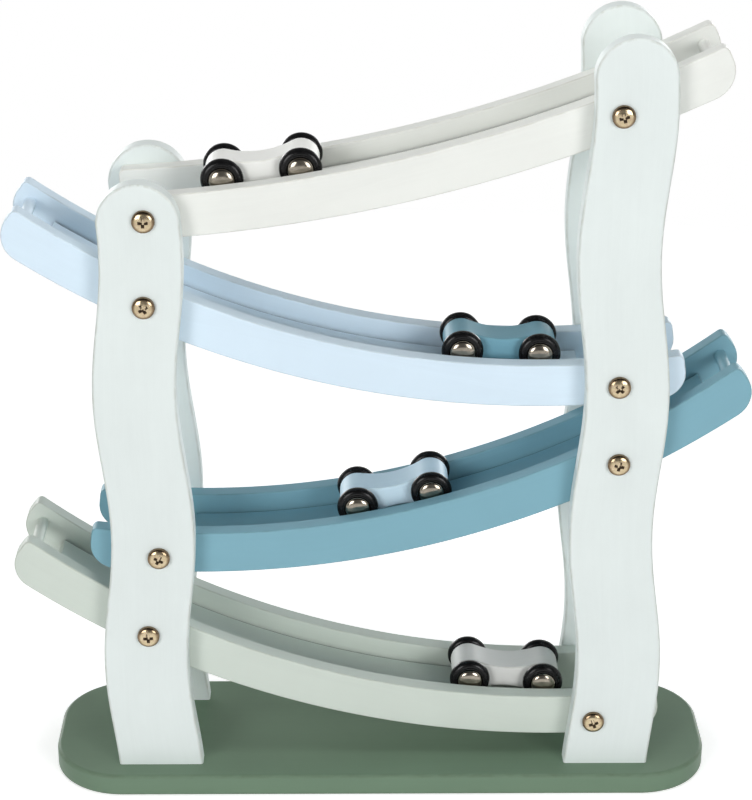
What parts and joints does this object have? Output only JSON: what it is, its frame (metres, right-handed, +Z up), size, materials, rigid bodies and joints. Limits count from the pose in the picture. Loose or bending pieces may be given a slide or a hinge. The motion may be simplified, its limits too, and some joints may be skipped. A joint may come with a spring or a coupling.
{
  "type": "wooden car track",
  "caption": "Painted wooden toy track: curved channel ramps in zigzag between wavy posts on a base plate, with small cars that roll down and drop from ramp to ramp.",
  "frame": {"origin": "middle of the base plate's underside", "axes": "+Z up, +X along the base plate towards the taller posts, +Y from the viewer's side to the back"},
  "size_m": [0.3022, 0.081, 0.3269],
  "materials": {
    "post_paint": "satin paint",
    "base_paint": "satin paint",
    "ramp_1_paint": "satin paint",
    "ramp_2_paint": "satin paint",
    "ramp_3_paint": "satin paint",
    "ramp_4_paint": "satin paint",
    "car_1_paint": "satin paint",
    "car_2_paint": "satin paint",
    "car_3_paint": "satin paint",
    "car_4_paint": "satin paint",
    "tyre": "gloss",
    "axle": "polished",
    "screw": "yellow passivated"
  },
  "bodies": {
    "frame": {"base_plate": "base_paint", "post_front_left": "post_paint", "post_front_right": "post_paint", "post_back_left": "post_paint", "post_back_right": "post_paint", "ramp_1_front_rail": "ramp_1_paint", "ramp_1_back_rail": "ramp_1_paint", "ramp_1_floor": "ramp_1_paint", "ramp_1_dowel": "ramp_1_paint", "ramp_1_screw_left": "screw", "ramp_1_screw_right": "screw", "ramp_2_front_rail": "ramp_2_paint", "ramp_2_back_rail": "ramp_2_paint", "ramp_2_floor": "ramp_2_paint", "ramp_2_dowel": "ramp_2_paint", "ramp_2_screw_left": "screw", "ramp_2_screw_right": "screw", "ramp_3_front_rail": "ramp_3_paint", "ramp_3_back_rail": "ramp_3_paint", "ramp_3_floor": "ramp_3_paint", "ramp_3_dowel": "ramp_3_paint", "ramp_3_screw_left": "screw", "ramp_3_screw_right": "screw", "ramp_4_front_rail": "ramp_4_paint", "ramp_4_back_rail": "ramp_4_paint", "ramp_4_floor": "ramp_4_paint", "ramp_4_dowel": "ramp_4_paint", "ramp_4_screw_left": "screw", "ramp_4_screw_right": "screw"},
    "car_1": {"car_1_body": "car_1_paint"},
    "car_1_lower_wheels": {"car_1_lower_axle": "axle", "car_1_lower_wheel_front": "tyre", "car_1_lower_wheel_back": "tyre"},
    "car_1_upper_wheels": {"car_1_upper_axle": "axle", "car_1_upper_wheel_front": "tyre", "car_1_upper_wheel_back": "tyre"},
    "car_2": {"car_2_body": "car_2_paint"},
    "car_2_lower_wheels": {"car_2_lower_axle": "axle", "car_2_lower_wheel_front": "tyre", "car_2_lower_wheel_back": "tyre"},
    "car_2_upper_wheels": {"car_2_upper_axle": "axle", "car_2_upper_wheel_front": "tyre", "car_2_upper_wheel_back": "tyre"},
    "car_3": {"car_3_body": "car_3_paint"},
    "car_3_lower_wheels": {"car_3_lower_axle": "axle", "car_3_lower_wheel_front": "tyre", "car_3_lower_wheel_back": "tyre"},
    "car_3_upper_wheels": {"car_3_upper_axle": "axle", "car_3_upper_wheel_front": "tyre", "car_3_upper_wheel_back": "tyre"},
    "car_4": {"car_4_body": "car_4_paint"},
    "car_4_lower_wheels": {"car_4_lower_axle": "axle", "car_4_lower_wheel_front": "tyre", "car_4_lower_wheel_back": "tyre"},
    "car_4_upper_wheels": {"car_4_upper_axle": "axle", "car_4_upper_wheel_front": "tyre", "car_4_upper_wheel_back": "tyre"}
  },
  "joints": [
    {"name": "car_1_roll", "type": "hinge", "parent": "frame", "child": "car_1", "pos_m": [-0.134, 0, 0.85666], "axis": [0, 1, 0], "range_deg": [-14.74, 0.16]},
    {"name": "car_1_lower_spin", "type": "hinge", "parent": "car_1", "child": "car_1_lower_wheels", "pos_m": [-0.06404, 0, 0.26438], "axis": [0, 1, 0], "continuous": true},
    {"name": "car_1_upper_spin", "type": "hinge", "parent": "car_1", "child": "car_1_upper_wheels", "pos_m": [-0.03286, 0, 0.2689], "axis": [0, 1, 0], "continuous": true},
    {"name": "car_2_roll", "type": "hinge", "parent": "frame", "child": "car_2", "pos_m": [0.063, 0, 0.54949], "axis": [0, -1, 0], "range_deg": [-27.42, 2.52]},
    {"name": "car_2_lower_spin", "type": "hinge", "parent": "car_2", "child": "car_2_lower_wheels", "pos_m": [0.06401, 0, 0.19009], "axis": [0, -1, 0], "continuous": true},
    {"name": "car_2_upper_spin", "type": "hinge", "parent": "car_2", "child": "car_2_upper_wheels", "pos_m": [0.03254, 0, 0.19138], "axis": [0, -1, 0], "continuous": true},
    {"name": "car_3_roll", "type": "hinge", "parent": "frame", "child": "car_3", "pos_m": [-0.0755, 0, 0.47459], "axis": [0, 1, 0], "range_deg": [-18.87, 10.97]},
    {"name": "car_3_lower_spin", "type": "hinge", "parent": "car_3", "child": "car_3_lower_wheels", "pos_m": [-0.01008, 0, 0.12119], "axis": [0, 1, 0], "continuous": true},
    {"name": "car_3_upper_spin", "type": "hinge", "parent": "car_3", "child": "car_3_upper_wheels", "pos_m": [0.02062, 0, 0.12828], "axis": [0, 1, 0], "continuous": true},
    {"name": "car_4_roll", "type": "hinge", "parent": "frame", "child": "car_4", "pos_m": [0.0728, 0, 0.397], "axis": [0, -1, 0], "range_deg": [-28.97, 0.97]},
    {"name": "car_4_lower_spin", "type": "hinge", "parent": "car_4", "child": "car_4_lower_wheels", "pos_m": [0.06974, 0, 0.03761], "axis": [0, -1, 0], "continuous": true},
    {"name": "car_4_upper_spin", "type": "hinge", "parent": "car_4", "child": "car_4_upper_wheels", "pos_m": [0.03828, 0, 0.03926], "axis": [0, -1, 0], "continuous": true}
  ]
}
